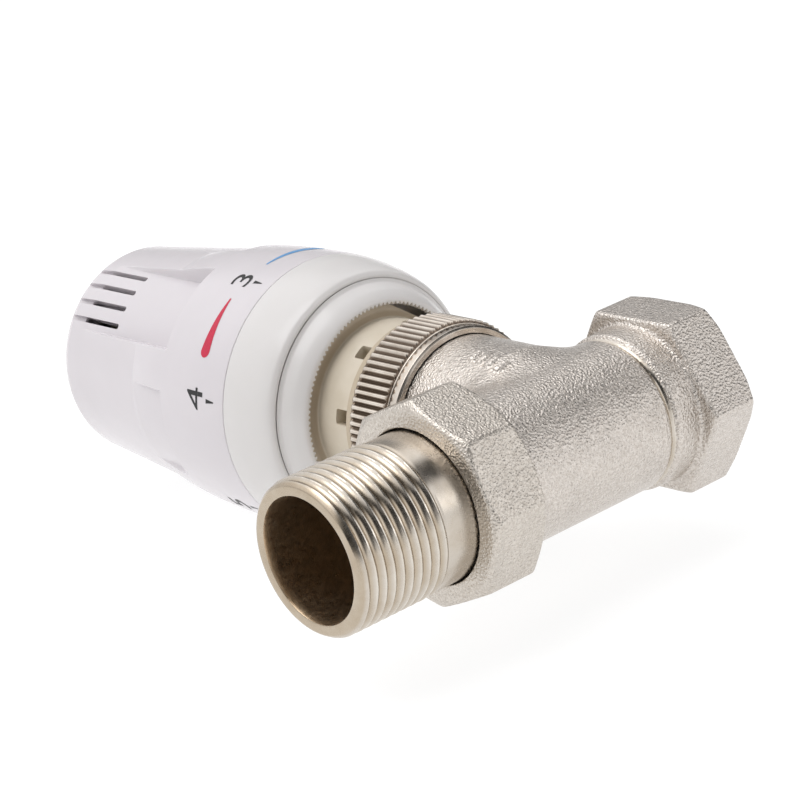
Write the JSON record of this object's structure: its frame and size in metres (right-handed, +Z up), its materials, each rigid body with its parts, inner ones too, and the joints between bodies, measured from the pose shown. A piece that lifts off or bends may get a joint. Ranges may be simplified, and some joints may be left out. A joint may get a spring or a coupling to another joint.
{
  "type": "thermostatic radiator valve",
  "caption": "Straight radiator valve with a threaded union tail, a female pipe socket and a turning thermostatic sensor head set at right angles.",
  "frame": {"origin": "centre of the pipe-side end face, on the pipe socket's axis", "axes": "+X along the pipe axis out of the pipe socket, +Y along the head axis towards the handwheel's closed end, +Z up"},
  "size_m": [0.0845, 0.1368, 0.05],
  "materials": {
    "cast_nickel": "sand-cast brass with satin nickel plating",
    "forged_nickel": "satin nickel-plated brass, grainy flats",
    "turned_nickel": "turned and polished nickel-plated brass",
    "knurled_nickel": "polished warm nickel with a straight knurl",
    "brass": "plain turned brass",
    "steel": "plain bright steel",
    "seal_rubber": "black EPDM",
    "cream_plastic": "cream moulded plastic",
    "white_plastic": "glossy cool white ABS",
    "capsule_metal": "plain drawn aluminium"
  },
  "bodies": {
    "valve": {"valve_body": "cast_nickel", "tailpiece": "turned_nickel", "union_seal": "seal_rubber", "insert_body": "brass", "insert_oring": "seal_rubber", "spring_seat": "brass", "gland_nut": "brass", "spindle_oring": "seal_rubber", "head_base": "cream_plastic", "serrated_ring": "white_plastic", "index_ring": "white_plastic", "return_spring": "steel"},
    "union_nut": {"union_nut": "forged_nickel"},
    "head_nut": {"head_nut": "knurled_nickel"},
    "handwheel": {"handwheel": "white_plastic"},
    "sensor": {"sensor_carrier": "cream_plastic", "sensor_capsule": "capsule_metal", "capsule_clip": "steel", "overtravel_spring": "steel"},
    "plunger": {"sensor_pin": "steel", "push_pin": "cream_plastic", "spindle": "steel", "spindle_clip": "steel", "disc_holder": "brass", "disc_washer": "seal_rubber", "disc_retainer": "brass"}
  },
  "joints": [
    {"name": "union_nut_spin", "type": "hinge", "parent": "valve", "child": "union_nut", "pos_m": [-0.055, 0, 0], "axis": [1, 0, 0], "continuous": true},
    {"name": "head_nut_spin", "type": "hinge", "parent": "valve", "child": "head_nut", "pos_m": [-0.0305, 0.027, 0], "axis": [0, 1, 0], "continuous": true},
    {"name": "handwheel_turn", "type": "hinge", "parent": "valve", "child": "handwheel", "pos_m": [-0.0305, 0.058, 0], "axis": [0, -1, 0], "range_deg": [0, 271.5]},
    {"name": "sensor_feed", "type": "slide", "parent": "valve", "child": "sensor", "axis": [0, -1, 0], "range_m": [0, 0.002], "deforming": ["return_spring"]},
    {"name": "thermal_stroke", "type": "slide", "parent": "sensor", "child": "plunger", "axis": [0, -1, 0], "range_m": [0, 0.0008], "stiffness_N_per_m": 500, "springref_m": -0.002}
  ],
  "couplings": [
    {"joint": "sensor_feed", "follows": "handwheel_turn", "m_per_rad": 0.000422}
  ]
}
